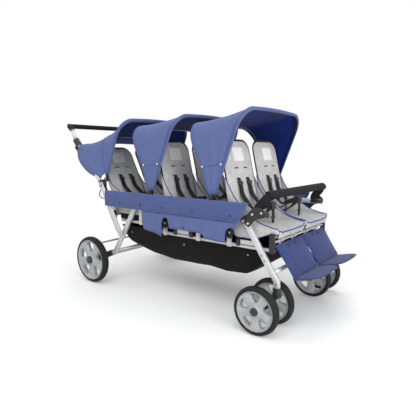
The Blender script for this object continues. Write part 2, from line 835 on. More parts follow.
def hung_cloth(name, rows, turn, n):
    """A lined canopy cloth and its trim, which follow the seat frame at start and another body at end."""
    fabric = grid(name + "_cloth", rows, "blue", "navy")
    face_along(fabric, 2)
    thicken(fabric, CLOTH_THICK, inner=1)
    trim = canopy_trim(name + "_trim", rows, turn, n)
    for o in (fabric, trim):
        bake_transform(o)
    return fabric, trim


def make_canopy(n):
    at = CANOPY_AT[n]
    bow = f"canopy_bow_{n}"
    rear = arch_row(CANOPY_Y, REAR_LEN[n], BOW_CORNER, CANOPY_START[n], -REAR_LEAN[n], at)
    front = arch_row(CANOPY_Y, FRONT_LEN[n], BOW_CORNER, CANOPY_START[n], FRONT_LEAN[n], at)
    if n in BAND:
        rear = shaped(rear, at, *REAR_EDGE)
        front = shaped(front, at, *FRONT_EDGE)
    rows, turn = canopy_cloth(rear, front, 0.009, 1.7 * n)
    fabric, trim = hung_cloth(f"canopy_{n}", rows, turn, n)
    sleeve(f"canopy_{n}_front_sleeve", n, FRONT_LEN[n], FRONT_LEAN[n], 0.3219, bow)
    if n in BAND:
        sleeve(f"canopy_{n}_rear_sleeve", n, REAR_LEN[n], -REAR_LEAN[n], 0.3168, "chassis")
    width, depth = path_length(front), path_length(rows[:, len(front) // 2]) * 1.12
    is_sheet(fabric, width, depth)
    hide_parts(f"canopy_{n}")


def tail_edge():
    """The rear canopy's back edge: from each tip out round the handle's tube and across behind the seats."""
    at = CANOPY_AT[1]
    side = curve([(0.030, 0.336, 0.012), (0.085, 0.352, 0.024), (0.147, 0.357, 0.051), (0.208, 0.358, 0.098),
                  (0.236, 0.358, 0.140), (0.239, 0.357, 0.186)], SIDE_POINTS + 1)[:SIDE_POINTS]
    corner = curve([(0.239, 0.357, 0.186), (0.231, 0.355, 0.206), (0.223, 0.344, 0.217),
                    (0.221, 0.322, 0.223), (0.226, 0.287, 0.228)], 13)
    top = [(0.226 + 0.008 * i / 10, 0.287 * (1 - i / 10), 0.228 + 0.006 * i / 10) for i in range(1, 11)]
    half = [tuple(p) for p in side] + [tuple(p) for p in corner] + top
    whole = half + [(x, -y, z) for x, y, z in half[-2::-1]]
    return np.array([(at[0] - x, y, at[1] + z) for x, y, z in whole])


def make_tail():
    """The part of the rear canopy that runs back to the handle and folds with it."""
    back = tail_edge()
    mid = arch_row(CANOPY_Y, REAR_LEN[1], BOW_CORNER, 0.046, -8.3, CANOPY_AT[1])
    rows, turn = canopy_cloth(back, mid, 0.014, 4.1)
    last = len(back) - 1
    for k in range(CLOTH_ROWS + 1):
        out = 1 - min(1, max(0, (k / CLOTH_ROWS - 0.36) / 0.44))
        out = out * out * (3 - 2 * out)
        for i in range(last + 1):
            if min(i, last - i) < SIDE_POINTS:
                y = CANOPY_Y + (abs(back[i, 1]) - CANOPY_Y) * out
                rows[k, i, 1] = math.copysign(max(abs(rows[k, i, 1]), y), rows[k, i, 1])
    c = len(back) // 2
    tail, trim = hung_cloth("canopy_1_back", rows, turn, 0)
    width, depth = path_length(mid), path_length(rows[:, c]) * 1.2
    is_sheet(tail, width, depth)


def level_line(rows, turn, side, rear_z, front_z):
    """A line across one side panel, from a height at the rear edge to a height at the front edge."""
    made = []
    for k in range(len(rows)):
        z = rear_z + (front_z - rear_z) * k / (len(rows) - 1)
        column, normals = rows[k, ::side][:30], turn[k, ::side][:30]
        i = int(np.argmax(column[:, 2] > z))
        t = (z - column[i - 1, 2]) / (column[i, 2] - column[i - 1, 2])
        made.append(column[i - 1] * (1 - t) + column[i] * t + normals[i] * 0.0007)
    return made


def canopy_trim(name, rows, turn, n):
    """Bound edges, double stitching, the side panels' seam and its snaps. 0 is the back cloth: one edge."""
    parts = []
    for k, step in ((0, 1), (len(rows) - 1, -1)) if n else ((0, 1),):
        parts.append(sweep("edge", curve(rows[k][::2], 150), round_profile(0.0021, 8), "hem", up=(1, 0, 0.3)))
        along = rows[k + step] - rows[k]
        size = np.maximum(np.linalg.norm(along, axis=1, keepdims=True), 1e-6)
        for off in SEAM_OFFSETS:
            line = rows[k] + along / size * np.minimum(off, size * 1.8) + turn[k] * 0.0004
            parts.append(stitches(spaced(line, 260), **WIDE_STITCH))
    for side in (1, -1) if n in BAND else ():
        (rear_x, rear_z), (front_x, front_z) = BAND[n]
        line = level_line(rows, turn, side, rear_z, front_z)
        parts.append(stitches(line, **WIDE_STITCH, up=(0, 1, 0)))
        parts.append(sweep("band", curve(line, 40), flat_profile(0.005, 0.0012), "hem", up=(0, side, 0)))
        for x in (rear_x, front_x):
            p = min(line, key=lambda q: abs(q[0] - x)) + np.array((0, side * 0.0012, 0))
            parts.append(dome("snap", p, (0, side, 0.05), 0.0062, 0.0030, "steel"))
    return joined(name, parts)


# Seats

UPRIGHT = Matrix(((0, 0, 1, 0), (1, 0, 0, 0), (0, 1, 0, 0), (0, 0, 0, 1)))


def seat_matrix(row, side):
    """Place of a seat back's own axes: across, up along it, and forward out of it."""
    tilt = Matrix.Rotation(radians(-LEAN[row]), 4, "Y")
    return Matrix.Translation((ROWS[row], side * SEAT_Y, SEAT_Z)) @ tilt @ UPRIGHT


BACK_W = 0.262
BACK_LEN = 0.418
BACK_CORNER = 0.060


UPPER_SEAM = 0.284
LOWER_SEAM = 0.200


def back_half(y):
    return rounded_half(y, BACK_W, BACK_LEN, BACK_CORNER)


def make_back_template():
    back = cushion("seat_back", BACK_W - 0.005, BACK_LEN - 0.004, 0.025, 0.009, BACK_CORNER - 0.002,
                   ("grey", "lining"), 14, 22)
    to_puff(back, 0.0060,
            lambda v: abs(v[0]) > back_half(v[1]) - 0.008 or v[1] < 0.006 or v[1] > BACK_LEN - 0.010)
    return back


def dress_back(back):
    """Seams, channels and the dark rear cloth on the puffed seat back."""
    refine(back)
    for line in (lambda c: abs(c.y - UPPER_SEAM),
                 lambda c: abs(c.y - LOWER_SEAM) + (abs(c.x) >= 0.075),
                 lambda c: abs(abs(c.x) - 0.086) + (c.y >= UPPER_SEAM),
                 lambda c: abs(abs(c.x) - 0.030) + (c.y >= LOWER_SEAM)):
        groove(back, line, 0.0022, 0.0026, (0, 0, 1))
    for v in back.data.vertices:
        v.co.z += 0.0012 * rough_noise(v.co, 22, 3.3)
    recoat(back, "grey", "lining")
    for p in back.data.polygons:
        p.material_index = int(p.normal.z < -0.35)


def back_trim(back):
    """Binding, blank patch, slots and stitching, in the seat back's own place."""
    corner, straight = BACK_CORNER, BACK_LEN - BACK_CORNER
    loop = [(-back_half(y), y, 0.0) for y in np.linspace(0.004, straight, 12)]
    loop += [(-BACK_W / 2 + corner - corner * cos(a), straight + corner * sin(a), 0.0)
             for a in np.linspace(0.1, pi / 2, 10)]
    loop += [(-x, y, z) for x, y, z in loop[::-1]]
    parts = [sweep("binding", curve(loop, 120), flat_profile(0.0105, 0.0042), "lining", up=(0, 0, 1))]

    def on(x, y, lift=0.0006):
        """A point a little over the seat back's front face."""
        hit, place, _, _ = back.ray_cast(Vector((x, y, 0.1)), Vector((0, 0, -1)))
        return x, y, (place.z if hit else 0.012) + lift

    rows = [[on(x, y, 0.0010) for x in np.linspace(-0.050, 0.050, 9)] for y in np.linspace(0.302, 0.384, 8)]
    patch = grid("patch", rows, "patch")
    patch.data.flip_normals()
    parts.append(thicken(patch, 0.0008, 0))
    edge, low, high = 0.047, 0.305, 0.381
    corners = ((-edge, low), (edge, low), (edge, high), (-edge, high), (-edge, low))
    border = [on(x, y, 0.0017) for x, y in corners]
    parts.append(stitches(spaced(border, 120), r=0.0004, mat="grey"))
    for x in (-0.043, 0.043):
        for y in (0.268, 0.213):
            slot = [on(x + d, y) for d in np.linspace(-0.016, 0.016, 7)]
            parts.append(sweep("slot", slot, flat_profile(0.0062, 0.0016), "lining", up=(0, 0, 1)))
    for x in (-0.0905, 0.0905):
        parts.append(stitches([on(x, y) for y in np.linspace(0.02, 0.280, 30)], mat="grey"))
    parts.append(stitches([on(x, 0.2885) for x in np.linspace(-0.12, 0.12, 30)], mat="grey"))
    return joined("seat_back_trim", parts)


def shared(template, name, matrix, body):
    """The template's mesh again, in another place."""
    made = bpy.data.objects.new(name, template.data)
    bpy.context.collection.objects.link(made)
    made.matrix_world = matrix
    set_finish(made, template["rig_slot"])
    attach(made, body)
    return made


def make_seat_backs(back, trim):
    for row, x in ROWS.items():
        for word, side in SIDES:
            body = f"seat_back_{row}_{word}"
            place = seat_matrix(row, side)
            pad = shared(back, f"back_pad_{row}_{word}", place, body)
            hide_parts(body)
            shared(trim, f"back_trim_{row}_{word}", place, body)
            ends = [(x, side * SEAT_Y + across, SEAT_Z) for across in (-0.133, 0.133)]
            rod = sweep(f"back_rod_{row}_{word}", ends, round_profile(0.0065, 16), "dull", up=(0, 0, 1))
            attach(rod, body)
    for o in (back, trim):
        bpy.data.objects.remove(o)


PAN_FRONT = 0.262
PAN_HALF = 0.1375


PAN_REAR = 0.012
PAN_SEAMS = (0.085, 0.165)


def pan_top(x, q):
    """Height of a seat's top over its hinge: a shallow sling with its front corners turned up."""
    x = x / PAN_FRONT
    return -0.0135 + 0.006 * (1 - q * q) - 0.013 * x ** 3 + 0.013 * abs(q) ** 5 * max(x, 0)


def make_pan(row, word, side):
    """A seat's padded base, with the piping along its front lip."""
    nx, nq = 34, 30
    centre = Vector((ROWS[row], side * SEAT_Y, SEAT_Z))

    def seam(x, q):
        across = min(abs(x - s) for s in PAN_SEAMS) / 0.003
        along = (abs(q) - 0.8) * PAN_HALF / 0.003
        return 0.0026 * math.exp(-across ** 2) + 0.0018 * math.exp(-along ** 2)

    top, low = [], []
    for i in range(nx + 1):
        u = i / nx
        x = PAN_REAR + (PAN_FRONT - PAN_REAR) * u
        top.append([])
        low.append([])
        for j in range(nq + 1):
            q = sin(pi / 2 * (2 * j / nq - 1))
            out = x - 0.010 * q * q * u ** 4
            z = pan_top(x, q)
            rough = 0.0016 * rough_noise((x + row, q * 0.14, side), 30)
            top[i].append(centre + Vector((out, q * PAN_HALF, z - seam(x, q) + rough)))
            low[i].append(centre + Vector((out, q * PAN_HALF, max(z - 0.022, -0.0345))))
    front = [(a + b) / 2 + Vector((0.004, 0, 0)) for a, b in zip(top[-1], low[-1])]
    rear = [(a + b) / 2 - Vector((0.004, 0, 0)) for a, b in zip(top[0], low[0])]
    loop = top + [front] + low[::-1] + [rear, top[0]]
    pad = closed_up(outward(grid(f"pan_pad_{row}_{word}", loop, "grey"), 2e-4))
    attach(pad, "chassis")
    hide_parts("seat_bases")
    lip = [p + Vector((0.0052, 0, -0.0034)) for p in top[-1]]
    piping = sweep(f"pan_trim_{row}_{word}", curve(lip, 60), round_profile(0.0032, 8), "piping", up=(1, 0, 0))
    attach(piping, "chassis")


FRONT_WING_LOW = [(0.012, -0.062), (0.070, -0.071), (0.128, -0.069), (0.206, -0.040), (0.256, -0.0330)]


def make_wings(row, word, side):
    """The cloth sides of a seat, from the back's edges down to the pan, with piping along their tops."""
    lean = radians(LEAN[row])
    sx, sz = -sin(lean), cos(lean)
    for which in (1, -1):
        outer = which == side
        low_front = outer and row == 3
        across = side * (SEAT_Y + 0.1445) if outer else side * SEAT_Y + which * 0.1415
        top = [(sx * 0.225, sz * 0.225), (sx * 0.150 + 0.020, sz * 0.150 + 0.006), (0.034, 0.094),
               (0.086, 0.054), (0.147, 0.016), (0.205, -0.001), (0.258, -0.010)]
        low = [(sx * 0.215 - 0.006, sz * 0.215), (sx * 0.120 - 0.008, sz * 0.120), (-0.006, 0.030),
               (0.004, -0.030), (0.060, -0.034), (0.150, -0.034), (0.256, -0.0340)]
        if low_front:
            low = low[:3] + FRONT_WING_LOW
        top, low = (curve([(x, 0, z) for x, z in line], 44) for line in (top, low))
        rows = []
        for k in range(9):
            v = k / 8
            rows.append([])
            for a, b in zip(top, low):
                p = a * (1 - v) + b * v
                near_back = max(0.0, min(1.0, (p[2] - 0.02) / 0.14))
                y = across - which * 0.008 * near_back ** 0.7
                y += which * 0.0014 * sin(pi * v) + 0.0010 * rough_noise(p, 25, row + side)
                rows[k].append((ROWS[row] + p[0], y, SEAT_Z + p[2]))
        kind = "outer" if outer else "inner"
        fabric = thicken(grid(f"wing_{kind}_{row}_{word}", rows, "grey"), CLOTH_THICK, 0)
        line = [np.array(a) * 0.86 + np.array(b) * 0.14 + np.array((0, which * 0.0010, 0))
                for a, b in zip(rows[0], rows[2])]
        parts = [sweep("piping", rows[0], round_profile(0.0026, 8), "piping"),
                 stitches(line[2:], mat="grey", up=(0, 1, 0))]
        if low_front:
            parts.append(sweep("piping", rows[-1][14:], round_profile(0.0022, 8), "piping"))
        trim = joined(f"wing_trim_{kind}_{row}_{word}", parts)
        for o in (fabric, trim):
            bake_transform(o)
        is_sheet(fabric, 0.42, 0.20)


STRAP_ON_BACK = ((0.043, 0.216, 0.010), (0.043, 0.206, 0.0195), (0.044, 0.176, 0.0215),
                 (0.046, 0.120, 0.0260))
STRAP_TO_BUCKLE = ((0.062, 0.046, 0.560), (0.112, 0.034, 0.574), (0.143, 0.014, 0.586))
WAIST_STRAP = ((0.014, 0.124, 0.500), (0.050, 0.104, 0.520), (0.100, 0.062, 0.556), (0.140, 0.020, 0.571))


def make_harness(row, word, side):
    """Shoulder straps, waist straps, and the crotch strap with its buckle."""
    x0, y0 = ROWS[row], side * SEAT_Y
    m = seat_matrix(row, side)
    buckle_x = x0 + 0.149
    crotch = [(buckle_x, y0, z) for z in (0.4885, 0.510, 0.535, 0.560)]
    parts = [block("buckle", (buckle_x, y0, 0.5765), (0.014, 0.038, 0.040), "black", 0.005),
             dome("button", (buckle_x + 0.0062, y0, 0.578), (1, 0, 0), 0.010, 0.0022, "cap"),
             sweep("crotch", crotch, flat_profile(0.026, 0.0026), "strap", up=(1, 0, 0)),
             block("slider", (buckle_x, y0, 0.520), (0.007, 0.034, 0.014), "black", 0.0025)]
    for s in (-1, 1):
        waist = curve([(x0 + x, y0 + s * y, z) for x, y, z in WAIST_STRAP], 24)
        parts.append(sweep("waist", waist, flat_profile(0.024, 0.0020), "strap", up=(0, 0, 1)))
        parts.append(block("slider", (x0 + 0.078, y0 + s * 0.083, 0.542), (0.016, 0.030, 0.008), "black",
                           0.002, Matrix.Rotation(s * radians(38), 3, "Z")))
    low = joined(f"harness_{row}_{word}", parts)
    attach(low, "chassis")
    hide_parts("lap_harness")
    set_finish(low, "black_webbing")

    parts = []
    pad_size = [0.75 + 0.25 * sin(pi * (i + 1) / 20) ** 0.3 for i in range(19)]
    for s in (-1, 1):
        route = [tuple(m @ Vector((s * x, y, z))) for x, y, z in STRAP_ON_BACK]
        route += [(x0 + x, y0 + s * y, z) for x, y, z in STRAP_TO_BUCKLE]
        line = curve(route, 44)
        parts.append(sweep("shoulder", line, flat_profile(0.027, 0.0022), "strap", up=(1, 0, 0.6)))
        parts.append(sweep("shoulder_pad", [p + np.array((0.0025, 0, 0.001)) for p in line[7:26]],
                           flat_profile(0.034, 0.0085), "strap", up=(1, 0, 0.4), scale=pad_size))
        p = line[5]
        parts.append(block("adjuster", (p[0] + 0.003, p[1], p[2]), (0.010, 0.036, 0.020), "black", 0.003,
                           Matrix.Rotation(radians(-LEAN[row]), 3, "Y")))
        parts.append(block("adjuster", tuple(line[30]), (0.008, 0.033, 0.016), "black", 0.0025,
                           Matrix.Rotation(radians(60), 3, "Y")))
    straps = joined(f"shoulder_straps_{row}_{word}", parts)
    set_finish(straps, "black_webbing")
    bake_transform(straps)


def make_back_pads():
    """The narrow padded strip between each seat's straps."""
    strip = cushion("strip", 0.052, 0.150, 0.011, 0.004, 0.016, ("grey",), 10, 18)
    strip.data.transform(Matrix.Translation((0, 0.038, 0.0155)))
    refine(strip)
    groove(strip, lambda c: min(abs(c.y - 0.085), abs(c.y - 0.135)), 0.0015, 0.0022, (0, 0, 1))
    for row in ROWS:
        for word, side in SIDES:
            pad = shared(strip, f"back_strip_{row}_{word}", seat_matrix(row, side), f"seat_back_{row}_{word}")
    bpy.data.objects.remove(strip)


# Side pads and curtains

PAD_REAR = -0.478
PAD_FRONT = 0.565
PAD_SEAMS = (-0.367, -0.146, 0.075, 0.297, 0.512)
SNAP_X = (-0.330, -0.156, 0.023, 0.238, 0.475)
PAD_SECTION = ((0, 0.3605, 0.5105), (0, 0.3606, 0.550), (0, 0.3600, 0.588), (0, 0.3545, 0.6010),
               (0, 0.3440, 0.6035), (0, 0.3310, 0.6030))
PAD_SLANT_FROM = 0.44


def pad_front(z):
    """Forward place of a pad's front end, which leans back toward its lower edge."""
    return PAD_FRONT - 0.046 * (1 - min(1, max(0, (z - 0.512) / 0.088)))


def slanted(x, z):
    """Draws a pad's points back toward its leaned front end."""
    if x < PAD_SLANT_FROM:
        return x
    share = (x - PAD_SLANT_FROM) * (pad_front(z) - PAD_SLANT_FROM)
    return PAD_SLANT_FROM + share / (PAD_FRONT - PAD_SLANT_FROM)


def make_pad_template():
    centre = curve(PAD_SECTION, 15)
    thick = [0.0030 + 0.0032 * sin(pi * min(k, 10) / 10) ** 0.6 for k in range(15)]
    n = np.gradient(centre, axis=0)
    side = np.stack([np.zeros(15), n[:, 2], -n[:, 1]], axis=1)
    side /= np.linalg.norm(side, axis=1, keepdims=True)
    rows = []
    steps = 130
    for i in range(steps + 1):
        x = PAD_REAR + 0.002 + (PAD_FRONT - PAD_REAR - 0.004) * i / steps
        end = min(x - PAD_REAR, PAD_FRONT - x)
        slim = 0.45 + 0.55 * min(1, end / 0.018) ** 0.5
        outer = [centre[k] + side[k] * thick[k] * slim for k in range(15)]
        inner = [centre[k] - side[k] * thick[k] * slim for k in range(14, -1, -1)]
        rows.append([(slanted(x, p[2]), p[1], p[2]) for p in outer + inner])
    pad = closed_up(grid("side_pad_left", rows, "pad", wrap=True))
    to_puff(pad, 0.0055,
            lambda v: v[1] < 0.347 or v[2] < 0.513 or v[0] < PAD_REAR + 0.012
            or v[0] > pad_front(v[2]) - 0.012 or min(abs(v[0] - s) for s in PAD_SEAMS) < 0.004)
    return pad


def dress_pad(pad):
    """Sewn channels, stitching, snaps and hems on the puffed side pad, and its copy on the right."""
    refine(pad)
    groove(pad, lambda c: min(abs(c.x - s) for s in PAD_SEAMS) if c.z < 0.596 else 1, 0.0030, 0.0042,
           (0, 1, 0.2))
    groove(pad, lambda c: abs(c.z - 0.524), 0.0022, 0.0030, (0, 1, 0))
    groove(pad, lambda c: abs(c.z - 0.5945), 0.0014, 0.0036, (0, 1, 0.6))
    for v, normal in with_normals(pad):
        if v.co.z > 0.515:
            v.co += normal * 0.0011 * rough_noise(v.co, 34, 1.1)
            v.co += normal * 0.0010 * rough_noise((v.co.x * 3, 0, v.co.z * 0.6), 18, 7.7)
    recoat(pad, "pad")
    seam = [(x, 0.3668, 0.520) for x in np.linspace(PAD_REAR + 0.01, pad_front(0.52) - 0.01, 40)]
    parts = [stitches(seam, **WIDE_STITCH, up=(0, 1, 0))]
    parts += [dome("snap", (x, 0.3664, 0.5420), (0, 1, 0), 0.0068, 0.0032, "black") for x in SNAP_X]
    for front in (False, True):
        hem = [(0.3628, 0.512), (0.3632, 0.550), (0.3625, 0.588), (0.3565, 0.6030), (0.344, 0.6064)]
        hem = [(pad_front(z) - 0.004 if front else PAD_REAR + 0.004, y, z) for y, z in hem]
        parts.append(sweep("hem", curve(hem, 24), round_profile(0.0030, 8), "hem", up=(1, 0, 0)))
    right, _ = on_both_sides(pad, joined("side_pad_trim_left", parts))
    for o in (pad, right):
        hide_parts("side_pads")


CURTAIN_TOP = 0.5085
CURTAIN_REAR = -0.144
CURTAIN_FRONT = 0.506


HEM_CORNERS = (0.0076, 0.0084, 0.0096, 0.012, 0.060, 0.0624, 0.0636, 0.0644, 0.4396, 0.4404, 0.442, 0.445)


def hem_line(x):
    """Height of a curtain's lower edge: three panels with an arch beside each seat hinge."""
    def arch(middle, half, foot, top):
        d = min(1.0, abs(x - middle) / half)
        return foot + (top - foot) * math.sqrt(max(0.0, 1 - d ** 2.6))

    if x < 0.008:
        return 0.407 - 0.027 * (x - CURTAIN_REAR) / 0.152
    if x < 0.064:
        return arch(0.036, 0.028, 0.432, 0.487)
    if x < 0.296:
        return 0.430 + 0.003 * sin(14 * (x - 0.064))
    if x < 0.318:
        return 0.432 - 0.024 * (x - 0.296) / 0.022
    if x < 0.440:
        return 0.408 - 0.004 * sin(pi * (x - 0.318) / 0.122)
    if x < 0.486:
        return arch(0.476, 0.036, 0.440, 0.481)
    return 0.470 + 0.02 * (x - 0.486) / 0.020


def make_curtains():
    xs = np.concatenate([np.linspace(CURTAIN_REAR, CURTAIN_FRONT, 150), HEM_CORNERS])
    xs = sorted(set(np.round(xs, 5)))
    rows = []
    for v in (k / 14 for k in range(15)):
        row = []
        for x in xs:
            z = CURTAIN_TOP - (CURTAIN_TOP - hem_line(x)) * v
            u = x - CURTAIN_REAR
            fold = 0.0030 * sin(2 * pi * u / 0.105) * v
            fold += 0.0034 * sin(2 * pi * (u * 7.5 + v * 0.9)) * v ** 1.3 * (1 if x < 0.008 else 0.45)
            fold -= 0.0042 * math.exp(-((x - 0.118 - 0.03 * v) / 0.010) ** 2) * sin(pi * min(1, v * 1.1))
            fold += 0.0030 * rough_noise((x, 0, z), 16, 2.2) * v
            row.append((x, 0.3572 + fold, z))
        rows.append(row)
    fabric = grid("side_curtain_left", rows, "blue")
    face_along(fabric, 1)
    thicken(fabric, 0.0015)
    rows = np.array(rows)
    line = rows[-2] + np.array((0, 0.0009, 0))
    trim = joined("side_curtain_trim_left", [
        sweep("hem", curve(rows[-1][::2], 240), round_profile(0.0017, 8), "hem"),
        stitches(spaced(line, 300), **WIDE_STITCH, up=(0, 1, 0)),
        dome("snap", (0.168, 0.3602, 0.446), (0, 1, 0), 0.0050, 0.0024, "black")])
    right, right_trim = on_both_sides(fabric, trim)
    for o, t, word in ((fabric, trim, "left"), (right, right_trim, "right")):
        is_sheet(o, 0.70, 0.135)
        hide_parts("side_curtains")


# Basket

BASKET_MID = 0.105
BASKET_HALF = (0.517, 0.2822)
BASKET_DEPTH = 0.165
BASKET_TOP = 0.386
BASKET_SHARES = ((-1, -0.76, -0.5, -0.2, 0.3, 0.52, 0.755, 1),
                 (0.59, 0.74, 0.92, 1, 0.95, 1, 0.95, 0.44))
BASKET_FOLDS = (((0.29, 0.385), (0.39, 0.250)), ((0.355, 0.385), (0.465, 0.240)),
                ((0.19, 0.385), (0.215, 0.250)), ((0.545, 0.380), (0.500, 0.235)),
                ((0.04, 0.385), (0.110, 0.245)), ((-0.16, 0.385), (-0.105, 0.260)),
                ((-0.285, 0.385), (-0.225, 0.280)), ((0.445, 0.385), (0.485, 0.250)))


def fold_depth(x, z):
    """How far the basket's wall is drawn in where it hangs in folds."""
    depth = 0.0
    for i, ((xa, za), (xb, zb)) in enumerate(BASKET_FOLDS):
        dx, dz = xb - xa, zb - za
        t = min(1, max(0, ((x - xa) * dx + (z - za) * dz) / (dx ** 2 + dz ** 2)))
        d = math.hypot(x - xa - t * dx, z - za - t * dz)
        reach = 0.011 + 0.003 * (i % 2)
        depth += (0.0055 - 0.0008 * (i % 3)) * math.exp(-(d / reach) ** 2) * min(1, 0.25 + t)
    return depth


def make_basket():
    half_x, half_y = BASKET_HALF
    stations = np.sin(np.linspace(-pi / 2, pi / 2, 131))
    ramp = np.linspace(-1, 1, 61)
    widths = np.sign(ramp) * (1 - (1 - np.abs(ramp)) ** 1.9)
    rows = []
    for s in stations:
        row = []
        deep = BASKET_DEPTH * np.interp(s, *BASKET_SHARES)
        for q in widths:
            drop = (1 - abs(s) ** 30) * (1 - abs(q) ** 34)
            side = abs(q) ** 8
            x = BASKET_MID + s * half_x
            z = BASKET_TOP - deep * drop
            pull = fold_depth(x, z) + 0.0035 * abs(rough_noise((x * 3, q, z * 2), 8, 8.8))
            y = q * half_y * (1 - 0.008 * drop) - np.sign(q) * pull * (side * min(1, 3 * drop))
            z += (0.006 * rough_noise((x, y, 0.3), 7, 3.1) + 0.004 * sin(pi * q)) * drop * (1 - side)
            row.append((x, y, z))
        rows.append(row)
    fabric = grid("basket_cloth", rows, "basket")
    face_along(fabric, 2)
    thicken(fabric, 0.0014)
    rows = np.array(rows)
    border = np.concatenate([rows[0], rows[1:, -1], rows[-1, -2::-1], rows[-2:0:-1, 0]])
    parts = [sweep("hem", curve(border[::3], 260, closed=True)[:-1], flat_profile(0.010, 0.0032), "basket",
                   up=(0, 0, 1), closed=True)]
    for column, out in ((3, -1), (rows.shape[1] - 4, 1)):
        for i in (24, 65, 104):
            place = rows[i, column] + np.array((0, out * 0.001, 0))
            parts.append(dome("snap", place, (0, out, 0), 0.0055, 0.0024, "dull"))
    trim = joined("basket_trim", parts)
    for o in (fabric, trim):
        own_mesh(o)
        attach(o, "chassis")
    is_sheet(fabric, 1.34, 0.90)
    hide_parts("basket")


# Footrests

FOOT_PIVOT = (0.672, 0.4247)
FOOT_W = 0.276


FOOT_Y = 0.145
CALF_LEN = 0.174
FOOT_LEN = 0.121
FOOT_EDGE = ((-0.136, 0.003), (-0.137, 0.040), (-0.134, 0.075), (-0.115, 0.105), (-0.080, 0.119), (0, 0.123))
CALF_EDGE = ((-0.137, 0.172), (-0.1375, 0.09), (-0.1375, 0.006), (-0.130, 0.0015), (0, 0.001))


def foot_matrices(side):
    """Places of the calf panel, which hangs from the pivot, and of the foot panel, which turns forward."""
    lean, rise = radians(34), radians(14)

    def placed(down, forward, drop, turn):
        x = FOOT_PIVOT[0] + down * sin(lean) + forward
        z = FOOT_PIVOT[1] - down * cos(lean) - drop
        return Matrix.Translation((x, side * FOOT_Y, z)) @ Matrix.Rotation(turn, 4, "Y") @ UPRIGHT

    return placed(0.016, 0, 0, pi - lean), placed(0.192, 0.0011, 0.0038, pi / 2 - rise)


def make_foot_templates():
    calf = cushion("calf", FOOT_W - 0.004, CALF_LEN, 0.014, 0.006, 0.010, ("foot",), 14, 12)
    foot = cushion("foot", FOOT_W - 0.004, FOOT_LEN, 0.013, 0.006, 0.052, ("foot",), 14, 10)
    for o, length in ((calf, CALF_LEN), (foot, FOOT_LEN)):
        to_puff(o, 0.0040,
                lambda v, n=length: abs(v[0]) > FOOT_W / 2 - 0.010 or v[1] < 0.006 or v[1] > n - 0.006)
    return calf, foot


def calf_flare(y):
    """How much wider the calf panel is at a distance down from its upper edge."""
    return 1 + 0.075 * (1 - min(1, max(0, y) / 0.085)) ** 1.5


def make_footrests(calf, foot):
    """Channels, creases, piping and snaps on the puffed calf and foot panels, and their places."""
    def stitched(c):
        return min(abs(c.y - 0.012), abs(abs(c.x) - 0.126))

    refine(calf)
    refine(foot)
    groove(calf, stitched, 0.0014, 0.0026, (0, 0, -1))
    groove(calf, stitched, 0.0014, 0.0026, (0, 0, 1))
    groove(foot, lambda c: abs(abs(c.x) - 0.126), 0.0014, 0.0026, (0, 0, 1))
    for v in calf.data.vertices:
        v.co.x *= calf_flare(v.co.y)
    for o in (calf, foot):
        for v in o.data.vertices:
            v.co.z += 0.0013 * rough_noise(v.co, 24, 6.6)
        recoat(o, "foot")

    def piping(name, edge, r):
        rim = [(x, y, 0) for x, y in edge] + [(-x, y, 0) for x, y in edge[-2::-1]]
        return sweep(name, curve(rim, 90), round_profile(r, 8), "foot", up=(0, 0, 1))

    foot_piping = piping("foot_piping", FOOT_EDGE, 0.0024)
    calf_piping = piping("calf_piping", [(x * calf_flare(y), y) for x, y in CALF_EDGE], 0.0022)
    crease = sweep("crease", [(x, -0.0015, 0) for x in np.linspace(-0.1335, 0.1335, 9)],
                   round_profile(0.0072, 16), "foot", up=(0, 0, 1))
    for word, side in SIDES:
        a, b = foot_matrices(side)
        for template, m, name in ((calf, a, "calf_pad"), (foot, b, "foot_pad")):
            pad = shared(template, f"{name}_{word}", m, "footrest")
            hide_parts("footrest_pads")
        shared(calf_piping, f"calf_piping_{word}", a, "footrest")
        shared(foot_piping, f"foot_piping_{word}", b, "footrest")
        shared(crease, f"foot_crease_{word}", b, "footrest")
        snaps = []
        out = a.to_3x3() @ Vector((0, 0, -1))
        out = out if out.x > 0 else -out
        for x in (-0.034, 0.034):
            hit, place, _, _ = calf.ray_cast(Vector((x, 0.022, -0.1)), Vector((0, 0, 1)))
            spot = a @ (place if hit else Vector((x, 0.022, -0.008)))
            snaps.append(dome("snap", spot + out * 0.0004, tuple(out), 0.0062, 0.0030, "black"))
        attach(joined(f"footrest_snaps_{word}", snaps), "footrest")
    for o in (calf, foot, foot_piping, calf_piping, crease):
        bpy.data.objects.remove(o)


# Wheels

TYRE_WALL = 0.020
TREAD_GROOVES = (-0.62, -0.22, 0.22, 0.62)


def tyre_profile(r, w):
    """Half round tyre with shallow ribs in its tread, from the left bead over to the right bead."""
    crown = w * 0.72
    bead = r - TYRE_WALL
    tread = []
    for t in np.linspace(-1, 1, 61):
        y = t * (w / 2 - 0.0008)
        edge = r - crown + math.sqrt(crown ** 2 - y ** 2)
        dip = 0.0014 if any(abs(t - g) < 0.035 for g in TREAD_GROOVES) else 0.0
        tread.append((edge - 0.0035 * abs(t) ** 8 - dip, y))
    start = [(bead + 0.0005, -w / 2 + 0.006), (bead - 0.0002, -w / 2 + 0.002)]
    start += [(bead + k * TYRE_WALL * 0.18, -w / 2 + 0.0008 - 0.00048 * sin(pi * k / 4)) for k in (1, 2)]
    return start + tread + [(a, -b) for a, b in start[::-1]]


SPOKES = 5
SPOKE_SHELLS = ((0.0, 0.0), (0.35, 0.0), (0.62, -0.0004), (0.82, -0.0014), (0.94, -0.0034), (1.0, -0.0062))


